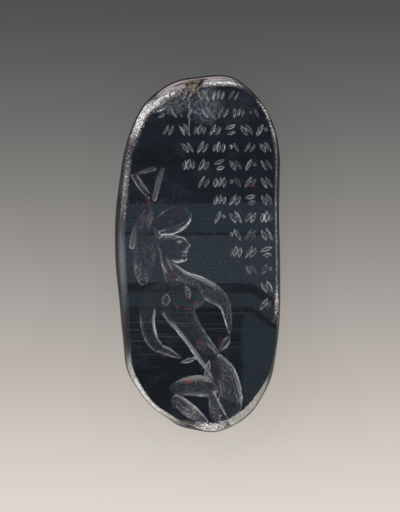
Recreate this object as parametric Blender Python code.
"""A long oval gem of dark banded stone, with a crouching figure and rows of small strokes cut into its face.

Metres, +Z up. The stone lies on its flat back, cut face up. The figure faces +X, and its head is towards +Y.
The origin is on the back, below the middle of the stone's bounding box.
"""

import math
from collections.abc import Iterator
from dataclasses import dataclass, replace
from itertools import pairwise

import bmesh
import bpy
from mathutils import Vector

# The stone
STONE_LENGTH = 0.0350
STONE_WIDTH = 0.0162
STONE_THICKNESS = 0.0040
GIRDLE_HEIGHT = 0.0020  # where the side is widest
BACK_INSET = 0.0007  # how far the side draws in from the girdle to the back
RIM_DROP = 0.0005  # from the edge of the polished face down the ground bevel
RIM_SHARE = 0.5  # of the rim's width that the ground bevel takes, the rest being the rounded side

# How the side is rounded, as shares: first of the way up to the girdle and of the inset that is left there,
# then of the way up from the girdle to the bevel and of the rounded side's width
BELOW_GIRDLE = ((0.0, 1.0), (0.12, 0.62), (0.50, 0.18))
ABOVE_GIRDLE = ((0.0, 0.0), (0.45, 0.22), (0.80, 0.60), (1.0, 1.0))

# The outline's crown, foot and straight sides, measured from the middle of the bounding box
CROWN_SHIFT = 0.0014
FOOT_SHIFT = 0.0013
LEFT_STRAIGHT = (0.0004, 0.0014)
RIGHT_STRAIGHT = (-0.0035, 0.0087)
OUTLINE_FULLNESS = (2.5, 2.05, 2.15, 2.35)  # superellipse exponents, from upper left round to lower left

# The polished face's edge, as the rim's width on each side of it
RIM_LEFT = 0.00105
RIM_RIGHT = 0.00048
RIM_TOP = 0.00117
RIM_BOTTOM = 0.00078
FACE_CROWN_SHIFT = 0.0017
FACE_FOOT_SHIFT = 0.0015
FACE_LEFT_STRAIGHT = (0.0004, 0.0009)
FACE_RIGHT_STRAIGHT = (-0.0074, 0.0082)
FACE_FULLNESS = (3.0, 2.65, 1.7, 2.75)
STEPS_PER_QUARTER = 20

# The figure, drawn in hundredths of its height from its lower left corner
FIGURE_TOP_GAP = 0.0079  # from the face's top to the crest
FIGURE_FOOT_GAP = 0.0001
FIGURE_SIDE_GAP = 0.00026
FIGURE_SPAN = 56.0  # the face is at least this wide, in hundredths of the figure's height

# The rows of strokes
ROWS = 13
ROW_PITCH = 0.00170
ROW_TOP_GAP = 0.00085
ROW_START = -0.0047  # where the top row starts, if the face reaches that far left
ROW_STEP = 0.00093  # how much further right each row starts
ROW_END_GAP = 0.00012  # from the rows to the edge of the face
SIGN_PITCH = 0.00152
STROKE_LENGTH = 0.00130
STROKE_WIDTH = 0.00036
STROKE_DEPTH = 0.00015

# How the cutting tools are shaped
BALL_LIFT = 0.35  # how far a round tool's middle stands above the surface, as a share of its cut's depth
BOAT_PLAN = ((-1.0, 0.0), (-0.5, 0.9), (0.5, 0.9), (1.0, 0.0))  # shares of a groove's half length and width
BOAT_FLARE = 1.25  # how much longer a groove's tool is, one depth above the surface
BOAT_KEEL = 0.55  # how much of the groove's length its floor takes


@dataclass(frozen=True)
class Oval:
    """A long oval of four superelliptic quarters, with a straight run on each side."""

    left: float
    right: float
    bottom: float
    top: float
    crown_x: float
    foot_x: float
    left_straight: tuple[float, float]
    right_straight: tuple[float, float]
    fullness: tuple[float, float, float, float]

    def drawn_in(self, inset: float) -> "Oval":
        """The same oval with its extremes moved inwards."""
        across = replace(self, left=self.left + inset, right=self.right - inset)
        return replace(across, bottom=self.bottom + inset, top=self.top - inset)

    def quarters(self) -> Iterator[tuple[tuple[float, float], tuple[float, float], float, bool]]:
        """Each quarter's centre, signed half axes, exponent, and whether it runs towards its side."""
        upper_left, upper_right, lower_right, lower_left = self.fullness
        low, high = self.left_straight
        yield (self.crown_x, high), (self.left - self.crown_x, self.top - high), upper_left, False
        low, high = self.right_straight
        yield (self.crown_x, high), (self.right - self.crown_x, self.top - high), upper_right, True
        yield (self.foot_x, low), (self.right - self.foot_x, self.bottom - low), lower_right, False
        low, high = self.left_straight
        yield (self.foot_x, low), (self.left - self.foot_x, self.bottom - low), lower_left, True

    def points(self) -> list[tuple[float, float]]:
        """The outline, clockwise as seen from above, from the top of its left side."""
        outline = []
        for centre, half_axes, fullness, reverse in self.quarters():
            quarter = []
            for step in range(STEPS_PER_QUARTER + 1):
                angle = math.radians(90 * step / STEPS_PER_QUARTER)
                across = math.cos(angle) ** (2 / fullness) if step < STEPS_PER_QUARTER else 0.0
                along = math.sin(angle) ** (2 / fullness)
                quarter.append((centre[0] + half_axes[0] * across, centre[1] + half_axes[1] * along))
            outline += quarter[-2::-1] if reverse else quarter
        return outline

    def side_at(self, y: float, on_right: bool) -> float:
        """Where the outline's left or right side stands at height y."""
        side, (low, high) = (self.right, self.right_straight) if on_right else (self.left, self.left_straight)
        if y > high:
            middle, reach = self.crown_x, (y - high) / (self.top - high)
            fullness = self.fullness[1 if on_right else 0]
        else:
            middle, reach = self.foot_x, max(low - y, 0.0) / (low - self.bottom)
            fullness = self.fullness[2 if on_right else 3]
        return middle + (side - middle) * (1 - min(reach, 1.0) ** fullness) ** (1 / fullness)


@dataclass(frozen=True)
class Hollow:
    """One wheel-cut hollow between two round ends: their places, widths and depths."""

    name: str
    start: tuple[float, float]
    end: tuple[float, float]
    widths: tuple[float, float]
    depths: tuple[float, float]


@dataclass(frozen=True)
class Stroke:
    """One short groove of a sign: its middle, from the sign's own, its length and its lean from upright."""

    right: float
    up: float
    length: float
    lean: float


@dataclass(frozen=True)
class Chip:
    """A break in the rim between two ends, each a place from the chip's anchor on the outline."""

    name: str
    anchor: tuple[float, float]
    start: tuple[float, float]
    end: tuple[float, float]
    widths: tuple[float, float]
    depths: tuple[float, float]


STONE = Oval(
    -STONE_WIDTH / 2, STONE_WIDTH / 2, -STONE_LENGTH / 2, STONE_LENGTH / 2,
    CROWN_SHIFT, FOOT_SHIFT, LEFT_STRAIGHT, RIGHT_STRAIGHT, OUTLINE_FULLNESS,
)
FACE = Oval(
    STONE.left + RIM_LEFT, STONE.right - RIM_RIGHT, STONE.bottom + RIM_BOTTOM, STONE.top - RIM_TOP,
    FACE_CROWN_SHIFT, FACE_FOOT_SHIFT, FACE_LEFT_STRAIGHT, FACE_RIGHT_STRAIGHT, FACE_FULLNESS,
)
FIGURE_HEIGHT = min(
    FACE.top - FACE.bottom - FIGURE_TOP_GAP - FIGURE_FOOT_GAP,
    (FACE.right - FACE.left - FIGURE_SIDE_GAP) * 100 / FIGURE_SPAN,
)
UNIT = FIGURE_HEIGHT / 100

CREST = (
    Hollow("crest_left", (1.4, 96.5), (7.6, 87.6), (1.6, 1.8), (0.8, 1.0)),
    Hollow("crest_inner", (5.0, 96.6), (8.3, 89.2), (1.0, 1.2), (0.6, 0.8)),
    Hollow("crest_bar", (2.8, 97.8), (10.6, 99.4), (2.0, 1.6), (1.0, 0.8)),
    Hollow("crest_right", (12.9, 99.6), (9.9, 86.6), (2.2, 3.0), (1.0, 1.3)),
    Hollow("crest_stem", (5.9, 88.4), (9.5, 82.8), (2.3, 3.2), (0.9, 1.2)),
)
HAIR = (
    Hollow("front_lock", (8.5, 84.0), (7.4, 76.0), (2.4, 3.3), (1.2, 1.6)),
    Hollow("side_lock", (6.5, 82.4), (3.5, 73.4), (2.2, 3.5), (1.0, 1.6)),
    Hollow("outer_lock", (4.4, 79.4), (1.7, 69.0), (2.0, 2.9), (0.8, 1.2)),
    Hollow("hair", (7.1, 71.4), (6.6, 60.4), (10.0, 9.0), (2.0, 2.2)),
    Hollow("hair_end", (5.7, 61.8), (6.7, 54.8), (6.4, 4.0), (2.0, 1.4)),
)
HEAD = (
    Hollow("helmet", (12.6, 77.9), (19.9, 81.1), (8.0, 9.6), (2.3, 2.7)),
    Hollow("helmet_brim", (13.2, 74.9), (19.8, 77.0), (3.0, 4.2), (1.6, 1.9)),
    Hollow("temple", (10.9, 75.2), (12.2, 73.6), (3.3, 3.0), (1.3, 1.3)),
    Hollow("cheek", (15.6, 69.5), (19.2, 68.9), (8.4, 7.4), (2.4, 2.6)),
    Hollow("nose", (21.8, 72.1), (24.2, 69.1), (1.9, 2.7), (1.3, 1.6)),
    Hollow("upper_lip", (21.4, 67.2), (22.9, 67.0), (1.5, 1.4), (1.6, 1.1)),
    Hollow("lower_lip", (21.2, 65.6), (22.5, 65.5), (1.5, 1.5), (1.6, 1.1)),
    Hollow("jaw", (15.4, 66.3), (19.6, 64.7), (5.2, 4.0), (1.9, 2.0)),
    Hollow("chin", (20.0, 64.1), (21.4, 63.9), (3.4, 3.1), (1.8, 1.5)),
)
TRUNK = (
    Hollow("neck", (14.6, 66.4), (17.6, 57.0), (6.7, 7.7), (1.7, 2.3)),
    Hollow("neck_slope", (18.4, 58.4), (27.4, 55.1), (5.1, 6.2), (1.5, 2.0)),
    Hollow("shoulders", (10.6, 51.4), (28.4, 53.8), (11.2, 9.6), (2.6, 2.4)),
    Hollow("chest", (13.6, 46.6), (26.6, 49.4), (12.6, 12.0), (3.0, 2.9)),
    Hollow("waist", (20.4, 44.1), (24.4, 36.6), (12.4, 9.1), (2.8, 2.4)),
    Hollow("belly", (24.6, 36.4), (30.2, 28.5), (9.0, 9.3), (2.4, 2.6)),
    Hollow("hips", (30.7, 27.7), (34.1, 23.1), (9.1, 8.0), (2.6, 2.2)),
)
ARMS = (
    Hollow("front_upper_arm", (30.1, 53.4), (37.1, 48.3), (8.1, 5.5), (2.3, 1.7)),
    Hollow("front_forearm", (37.5, 47.7), (39.5, 36.2), (4.9, 2.9), (1.7, 1.1)),
    Hollow("front_hand", (39.4, 33.5), (37.1, 29.6), (3.5, 2.0), (1.0, 0.7)),
    Hollow("back_shoulder", (8.7, 50.4), (8.3, 45.9), (8.2, 7.2), (2.4, 2.2)),
    Hollow("back_upper_arm", (8.1, 46.3), (8.3, 36.9), (6.7, 5.9), (2.1, 1.8)),
    Hollow("back_elbow", (8.4, 36.7), (11.5, 30.5), (5.8, 4.9), (1.8, 1.6)),
    Hollow("back_forearm", (12.1, 29.9), (20.1, 26.7), (4.7, 3.1), (1.6, 1.1)),
    Hollow("back_hand", (20.9, 24.5), (27.3, 26.1), (2.2, 1.5), (0.9, 0.7)),
)
LEGS = (
    Hollow("front_thigh", (36.8, 22.6), (39.5, 13.1), (8.2, 9.2), (2.2, 2.2)),
    Hollow("front_knee_cloth", (39.4, 12.9), (40.5, 7.4), (9.3, 9.8), (2.2, 1.8)),
    Hollow("cloth_end", (31.8, 24.7), (30.5, 17.1), (1.6, 2.5), (0.8, 1.2)),
    Hollow("back_thigh", (19.3, 14.7), (30.4, 14.7), (6.7, 8.4), (1.9, 2.3)),
    Hollow("back_calf", (19.7, 8.5), (26.4, 3.7), (6.1, 5.1), (1.8, 1.7)),
    Hollow("back_foot", (26.1, 4.3), (30.5, 1.0), (4.3, 2.4), (1.5, 0.9)),
    Hollow("front_calf", (33.1, 12.5), (34.0, 3.5), (3.9, 4.7), (1.4, 1.6)),
)
FIGURE = CREST + HAIR + HEAD + TRUNK + ARMS + LEGS

# The signs are leaning pairs and trios of strokes that never meet: shares of a stroke's length, and degrees
SIGNS = (
    (Stroke(-0.19, 0.02, 1.0, 29), Stroke(0.19, -0.04, 0.85, 29)),
    (Stroke(-0.19, -0.04, 0.85, -29), Stroke(0.19, 0.02, 1.0, -29)),
    (Stroke(-0.33, -0.03, 0.72, 10), Stroke(0.0, 0.04, 0.80, 10), Stroke(0.33, -0.02, 0.72, 10)),
    (Stroke(-0.04, 0.22, 0.85, 72), Stroke(0.05, -0.22, 0.65, 72)),
    (Stroke(-0.16, 0.0, 1.0, 26), Stroke(0.28, 0.05, 0.3, 26)),
    (Stroke(-0.28, 0.05, 0.3, -26), Stroke(0.16, 0.0, 1.0, -26)),
)
SIGN_ORDER = (0, 1, 2, 0, 3, 1, 4, 1, 0, 2, 5)  # runs on from row to row

CROWN, FOOT = (CROWN_SHIFT, STONE.top), (FOOT_SHIFT, STONE.bottom)
LOW_RIGHT = (STONE.right, RIGHT_STRAIGHT[0])
CHIPS = (
    Chip("crown_notch", CROWN, (-0.0014, 0.0), (-0.0020, -0.0017), (0.0018, 0.0003), (0.0013, 0.00015)),
    Chip("side_chip", LOW_RIGHT, (0.0001, -0.0006), (-0.0003, -0.0016), (0.0008, 0.0009), (0.0007, 0.0006)),
    Chip("low_chip", LOW_RIGHT, (-0.0002, -0.0024), (-0.0006, -0.0030), (0.0007, 0.0006), (0.0006, 0.0004)),
    Chip("foot_chip", FOOT, (-0.0026, 0.0009), (-0.0006, 0.0004), (0.0009, 0.0008), (0.0006, 0.0008)),
    Chip("foot_pit", FOOT, (-0.0012, 0.0013), (-0.0011, 0.0014), (0.00030, 0.00030), (0.0003, 0.0003)),
)


def new_object(name: str, mesh_source: bmesh.types.BMesh) -> bpy.types.Object:
    """An object in the scene that holds the finished bmesh."""
    mesh = bpy.data.meshes.new(name)
    mesh_source.to_mesh(mesh)
    mesh_source.free()
    made = bpy.data.objects.new(name, mesh)
    bpy.context.scene.collection.objects.link(made)
    return made


def polished_stone() -> bpy.types.Material:
    """Near-black banded stone with a polish."""
    material = bpy.data.materials.new("dark_banded_stone")
    material.use_nodes = True
    shader = material.node_tree.nodes["Principled BSDF"]
    shader.inputs["Base Color"].default_value = (0.016, 0.020, 0.026, 1.0)
    shader.inputs["Roughness"].default_value = 0.25
    shader.inputs["Metallic"].default_value = 0.0
    return material


def side_profile() -> list[tuple[float, float, float]]:
    """The side from the back up: each level's height, inset from the outline, and share of the rim crossed."""
    rounded_height = STONE_THICKNESS - RIM_DROP - GIRDLE_HEIGHT
    below = [(GIRDLE_HEIGHT * up, BACK_INSET * inset, 0.0) for up, inset in BELOW_GIRDLE]
    above = [
        (GIRDLE_HEIGHT + rounded_height * up, 0.0, (1 - RIM_SHARE) * across) for up, across in ABOVE_GIRDLE
    ]
    return [*below, *above, (STONE_THICKNESS, 0.0, 1.0)]


def blank_stone() -> bpy.types.Object:
    """The stone before anything is cut: rings of the outline from the back to the face, and the two flats."""
    source = bmesh.new()
    rings = []
    for height, inset, rim in side_profile():
        outer, edge = STONE.drawn_in(inset).points(), FACE.points()
        rings.append([
            source.verts.new((x + (face_x - x) * rim, y + (face_y - y) * rim, height))
            for (x, y), (face_x, face_y) in zip(outer, edge)
        ])
    for lower, upper in pairwise(rings):
        for here in range(len(lower)):
            following = (here + 1) % len(lower)
            source.faces.new((lower[here], upper[here], upper[following], lower[following]))
    source.faces.new(rings[0])
    source.faces.new(reversed(rings[-1]))
    bmesh.ops.recalc_face_normals(source, faces=source.faces)
    return new_object("engraved_gem", source)


def hull_between(source: bmesh.types.BMesh) -> None:
    """Leaves only the convex hull of the mesh's points."""
    bmesh.ops.delete(source, geom=list(source.edges), context="EDGES_FACES")
    bmesh.ops.convex_hull(source, input=source.verts)
    inner = [vertex for vertex in source.verts if not vertex.link_faces]
    bmesh.ops.delete(source, geom=inner, context="VERTS")
    bmesh.ops.recalc_face_normals(source, faces=source.faces)


def round_cutter(name: str, ends: list[tuple[Vector, float, float]], facets: int = 2) -> bpy.types.Object:
    """A cutter between two round-bottomed ends, each given by its place on the surface, width and depth."""
    source = bmesh.new()
    for place, width, depth in ends:
        rise = BALL_LIFT * depth
        radius_down = depth + rise
        radius_out = width / 2 / math.sqrt(1 - (rise / radius_down) ** 2)
        ball = bmesh.ops.create_icosphere(source, subdivisions=facets, radius=1.0)["verts"]
        bmesh.ops.scale(source, vec=(radius_out, radius_out, radius_down), verts=ball)
        bmesh.ops.translate(source, vec=place + Vector((0, 0, rise)), verts=ball)
    hull_between(source)
    return new_object(name, source)


def stroke_cutter(name: str, middle: Vector, length: float, lean: float) -> bpy.types.Object:
    """A boat-shaped groove, pointed at both ends. Its plan stands above the face, and its keel is the floor."""
    along = Vector((math.sin(lean), math.cos(lean), 0)) * length / 2
    across = Vector((math.cos(lean), -math.sin(lean), 0)) * STROKE_WIDTH
    above = Vector((0, 0, STROKE_DEPTH))
    source = bmesh.new()
    for share, half_width in BOAT_PLAN:
        for side in (-1, 1) if half_width else (0,):
            # As far above the face as the keel is below it, so the plan there is twice as wide as at the face
            source.verts.new(middle + along * share * BOAT_FLARE + across * side * half_width + above)
    for side in (-1, 1):
        source.verts.new(middle + along * side * BOAT_KEEL - above)
    hull_between(source)
    return new_object(name, source)


def on_face(x: float, y: float) -> Vector:
    """A point of the polished face."""
    return Vector((x, y, STONE_THICKNESS))


def figure_point(drawn: tuple[float, float]) -> Vector:
    """A point of the figure's drawing, on the polished face."""
    left, foot = FACE.left + FIGURE_SIDE_GAP, FACE.bottom + FIGURE_FOOT_GAP
    return on_face(left + drawn[0] * UNIT, foot + drawn[1] * UNIT)


def figure_cutters() -> list[bpy.types.Object]:
    """One round-bottomed cutter for each hollow of the figure."""
    cutters = []
    for hollow in FIGURE:
        places = (figure_point(hollow.start), figure_point(hollow.end))
        ends = [
            (place, width * UNIT, depth * UNIT)
            for place, width, depth in zip(places, hollow.widths, hollow.depths)
        ]
        cutters.append(round_cutter(hollow.name, ends))
    return cutters


def row_places() -> list[tuple[float, float]]:
    """The middle of each sign. The rows step in from the left as they go down, and end at the face's edge."""
    places = []
    for row in range(ROWS):
        y = FACE.top - ROW_TOP_GAP - row * ROW_PITCH
        strokes_top = y + STROKE_LENGTH / 3
        left = max(FACE.side_at(strokes_top, on_right=False) + ROW_END_GAP, ROW_START + row * ROW_STEP)
        right = FACE.side_at(strokes_top, on_right=True) - ROW_END_GAP
        count = max(1, round((right - left) / SIGN_PITCH))
        places += [(right - SIGN_PITCH * (index + 0.5), y) for index in reversed(range(count))]
    return places


def sign_cutters() -> list[bpy.types.Object]:
    """The cutters of every stroke in the rows."""
    cutters = []
    for index, (x, y) in enumerate(row_places()):
        for number, stroke in enumerate(SIGNS[SIGN_ORDER[index % len(SIGN_ORDER)]]):
            middle = on_face(x + stroke.right * STROKE_LENGTH, y + stroke.up * STROKE_LENGTH)
            length = stroke.length * STROKE_LENGTH
            cutters.append(stroke_cutter(f"sign_{index}_{number}", middle, length, math.radians(stroke.lean)))
    return cutters


def chip_cutters() -> list[bpy.types.Object]:
    """The notch in the rim's crown, and the chips on its right side and at its foot, with few, hard facets."""
    cutters = []
    for chip in CHIPS:
        places = [on_face(chip.anchor[0] + x, chip.anchor[1] + y) for x, y in (chip.start, chip.end)]
        cutters.append(round_cutter(chip.name, list(zip(places, chip.widths, chip.depths)), facets=1))
    return cutters


def cut(stone: bpy.types.Object, cutters: list[bpy.types.Object]) -> None:
    """Cuts every cutter out of the stone with one Boolean."""
    collection = bpy.data.collections.new("cutters")
    collection.hide_render = True
    bpy.context.scene.collection.children.link(collection)
    for cutter in cutters:
        bpy.context.scene.collection.objects.unlink(cutter)
        collection.objects.link(cutter)
        cutter.hide_render = True
        cutter.display_type = "WIRE"
    engraving = stone.modifiers.new("engraving", "BOOLEAN")
    engraving.operation = "DIFFERENCE"
    engraving.operand_type = "COLLECTION"
    engraving.collection = collection
    engraving.solver = "EXACT"


def main() -> None:
    """Clears the scene and makes the gem."""
    for old in list(bpy.data.objects):
        bpy.data.objects.remove(old)
    stone = blank_stone()
    stone.data.materials.append(polished_stone())
    cut(stone, figure_cutters() + sign_cutters() + chip_cutters())


main()
